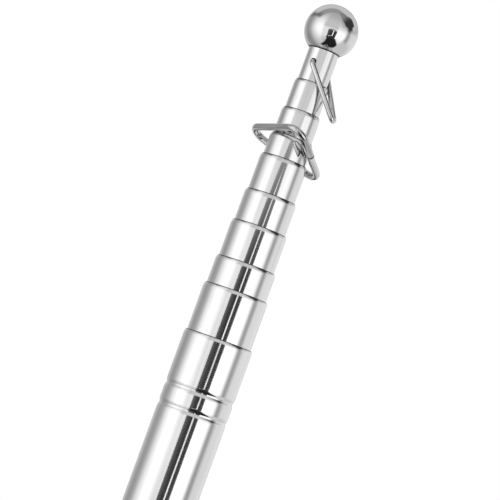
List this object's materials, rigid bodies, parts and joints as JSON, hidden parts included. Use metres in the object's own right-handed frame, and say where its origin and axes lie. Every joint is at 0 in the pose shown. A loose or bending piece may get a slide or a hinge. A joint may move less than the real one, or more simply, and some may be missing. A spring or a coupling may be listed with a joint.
{
  "type": "telescopic hand flagpole",
  "caption": "Hand-held telescopic flagpole of nested polished steel tubes, pushed together, with a ball tip and wire rings that take the corners of a flag.",
  "frame": {"origin": "middle of the end plug's lower face, on the pole's axis", "axes": "+Z along the pole from the plug to the ball, Y along the cross hole in the thinnest tube"},
  "size_m": [0.0267, 0.026, 0.3393],
  "materials": {
    "tube_steel": "polished stainless steel with fine drawn lines",
    "ball_steel": "mirror-polished steel",
    "wire_steel": "bright drawn steel wire",
    "plug_steel": "turned and polished steel",
    "sleeve_brass": "rolled spring brass, hidden inside the tubes"
  },
  "bodies": {
    "handle": {"handle_tube": "tube_steel", "end_plug": "plug_steel"},
    "section_2": {"tube_2": "tube_steel", "guide_sleeve_2": "sleeve_brass"},
    "section_3": {"tube_3": "tube_steel", "guide_sleeve_3": "sleeve_brass"},
    "section_4": {"tube_4": "tube_steel", "guide_sleeve_4": "sleeve_brass"},
    "section_5": {"tube_5": "tube_steel", "guide_sleeve_5": "sleeve_brass"},
    "section_6": {"tube_6": "tube_steel", "guide_sleeve_6": "sleeve_brass"},
    "section_7": {"tube_7": "tube_steel", "guide_sleeve_7": "sleeve_brass"},
    "section_8": {"tube_8": "tube_steel", "guide_sleeve_8": "sleeve_brass"},
    "section_9": {"tube_9": "tube_steel", "guide_sleeve_9": "sleeve_brass"},
    "section_10": {"tube_10": "tube_steel", "guide_sleeve_10": "sleeve_brass", "ball_finial": "ball_steel"},
    "top_ring": {"top_flag_ring": "wire_steel"},
    "lower_ring": {"lower_flag_ring": "wire_steel"}
  },
  "joints": [
    {"name": "section_2_slide", "type": "slide", "parent": "handle", "child": "section_2", "axis": [0, 0, 1], "range_m": [0, 0.1682]},
    {"name": "section_3_slide", "type": "slide", "parent": "section_2", "child": "section_3", "axis": [0, 0, 1], "range_m": [0, 0.2079]},
    {"name": "section_4_slide", "type": "slide", "parent": "section_3", "child": "section_4", "axis": [0, 0, 1], "range_m": [0, 0.217]},
    {"name": "section_5_slide", "type": "slide", "parent": "section_4", "child": "section_5", "axis": [0, 0, 1], "range_m": [0, 0.2292]},
    {"name": "section_6_slide", "type": "slide", "parent": "section_5", "child": "section_6", "axis": [0, 0, 1], "range_m": [0, 0.2397]},
    {"name": "section_7_slide", "type": "slide", "parent": "section_6", "child": "section_7", "axis": [0, 0, 1], "range_m": [0, 0.2517]},
    {"name": "section_8_slide", "type": "slide", "parent": "section_7", "child": "section_8", "axis": [0, 0, 1], "range_m": [0, 0.259]},
    {"name": "section_9_slide", "type": "slide", "parent": "section_8", "child": "section_9", "axis": [0, 0, 1], "range_m": [0, 0.2677]},
    {"name": "section_10_slide", "type": "slide", "parent": "section_9", "child": "section_10", "axis": [0, 0, 1], "range_m": [0, 0.2774]},
    {"name": "top_ring_swing", "type": "hinge", "parent": "section_10", "child": "top_ring", "pos_m": [0, 0, 0.3194], "axis": [0, -1, 0], "range_deg": [0, 96]},
    {"name": "lower_ring_swivel", "type": "hinge", "parent": "section_7", "child": "lower_ring", "pos_m": [0, 0, 0.2929], "axis": [0, 0, 1], "continuous": true}
  ]
}
